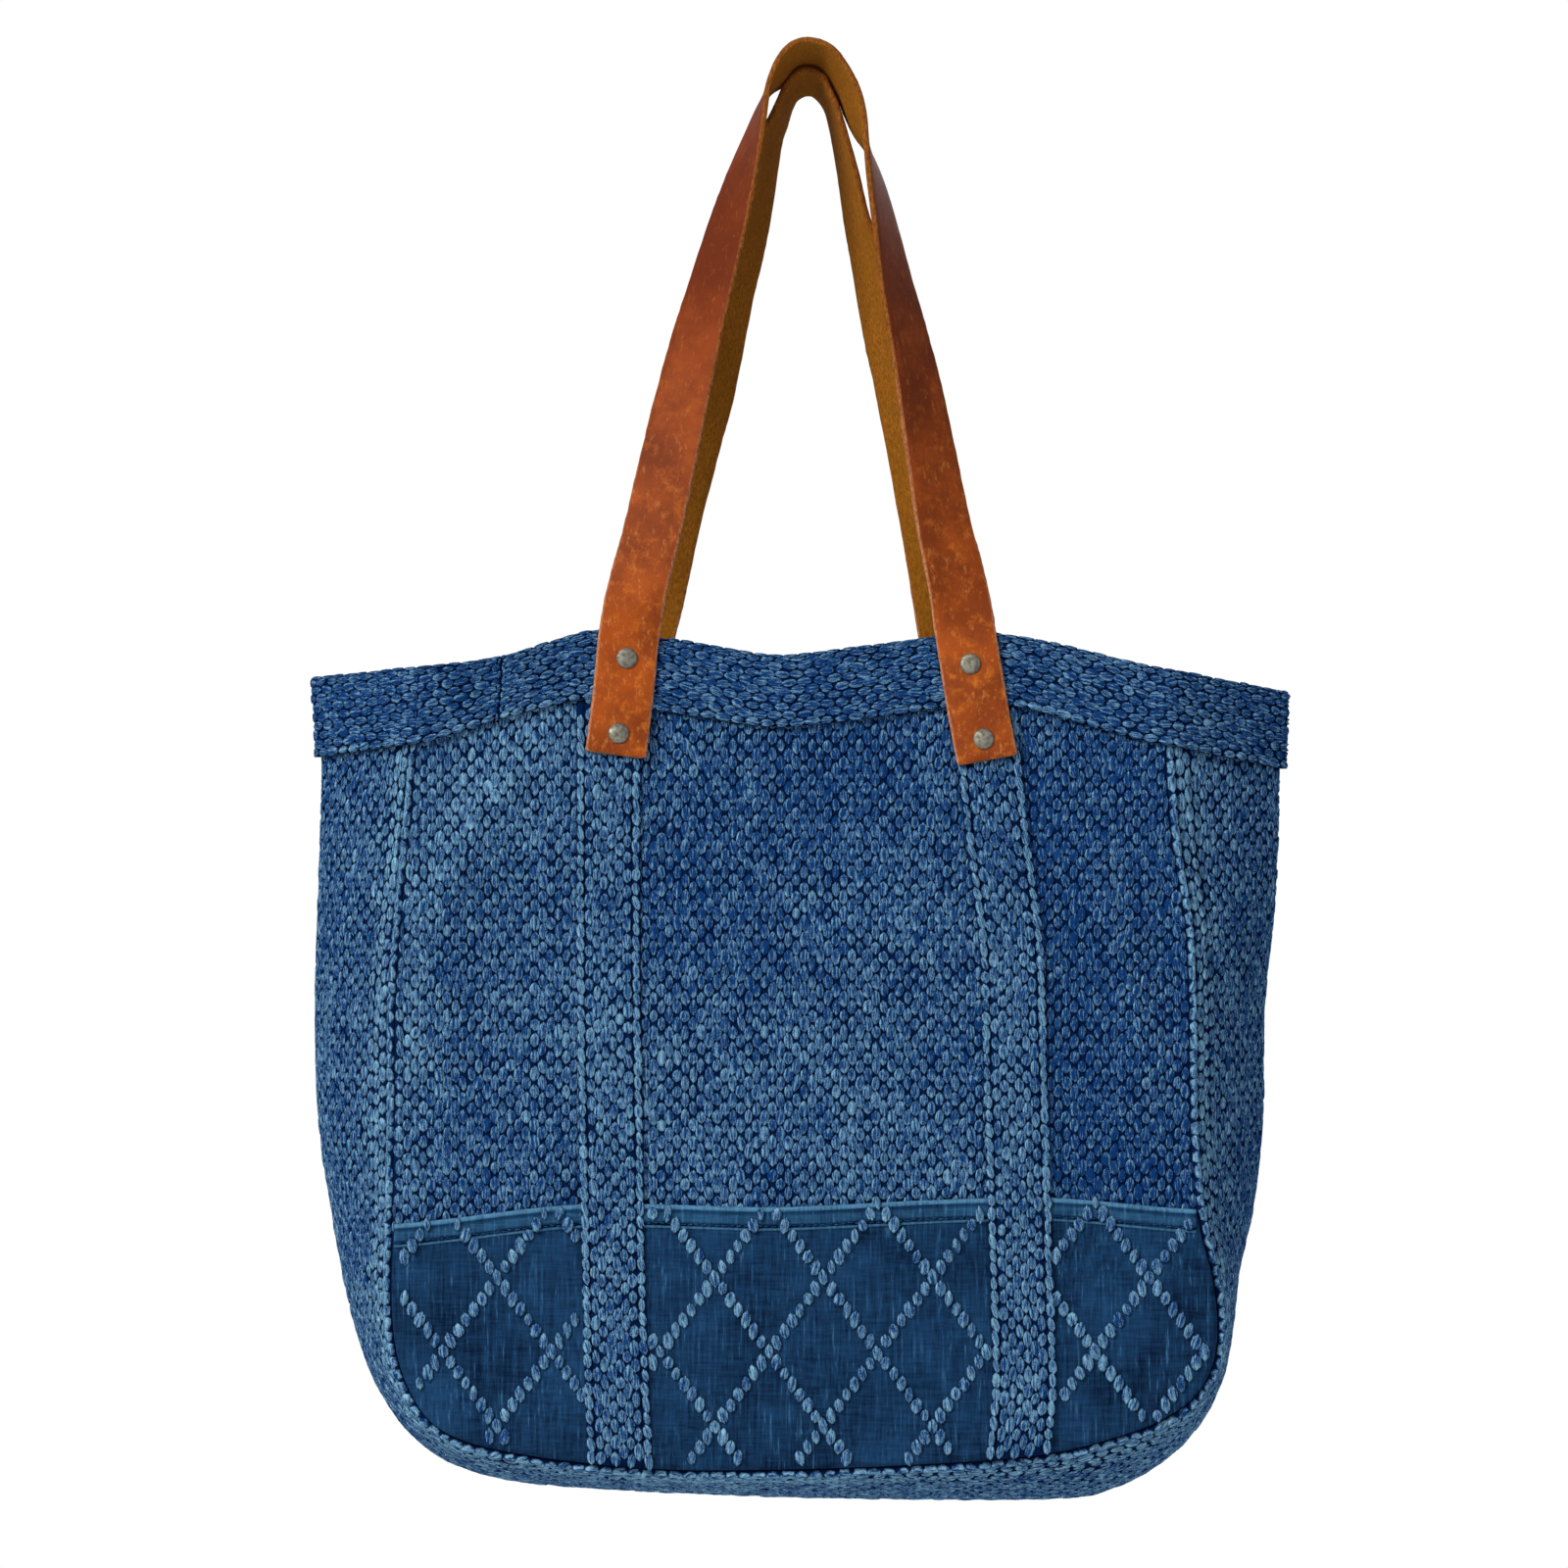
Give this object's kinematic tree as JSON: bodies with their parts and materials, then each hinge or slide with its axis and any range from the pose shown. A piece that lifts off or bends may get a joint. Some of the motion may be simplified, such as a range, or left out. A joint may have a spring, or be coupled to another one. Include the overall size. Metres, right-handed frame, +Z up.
{
  "type": "cotton tote bag with leather handles",
  "caption": "Deep open tote bag of thick woven cotton with a boxed gusset, a mouth band, a quilted-stitch front pocket and riveted leather shoulder handles, held up by its handles.",
  "frame": {"origin": "underside of the two handles where they hang, in the middle of the bag", "axes": "+X to the viewer's right along the mouth, +Y away from the viewer through the bag, +Z up"},
  "size_m": [0.4882, 0.1265, 0.7253],
  "materials": {
    "rice_weave": "thick indigo cotton with a raised rice-grain weave",
    "gusset_weave": "the same cotton, worn lighter along the topstitched seams",
    "plain_weave": "dark indigo plain weave with slubs and stitched diamonds",
    "tan_leather": "thick vegetable-tanned cowhide, worn glossy grain and raw suede back",
    "old_brass": "antique, dull and worn"
  },
  "bodies": {
    "root": {"front_panel": "rice_weave", "back_panel": "rice_weave", "gusset": "gusset_weave", "mouth_band": "rice_weave", "front_pocket": "plain_weave", "front_left_strip": "rice_weave", "front_right_strip": "rice_weave", "back_left_strip": "rice_weave", "back_right_strip": "rice_weave", "front_handle": "tan_leather", "back_handle": "tan_leather", "front_left_lower_rivet": "old_brass", "front_left_upper_rivet": "old_brass", "front_right_lower_rivet": "old_brass", "front_right_upper_rivet": "old_brass", "back_left_lower_rivet": "old_brass", "back_left_upper_rivet": "old_brass", "back_right_lower_rivet": "old_brass", "back_right_upper_rivet": "old_brass"}
  },
  "joints": []
}
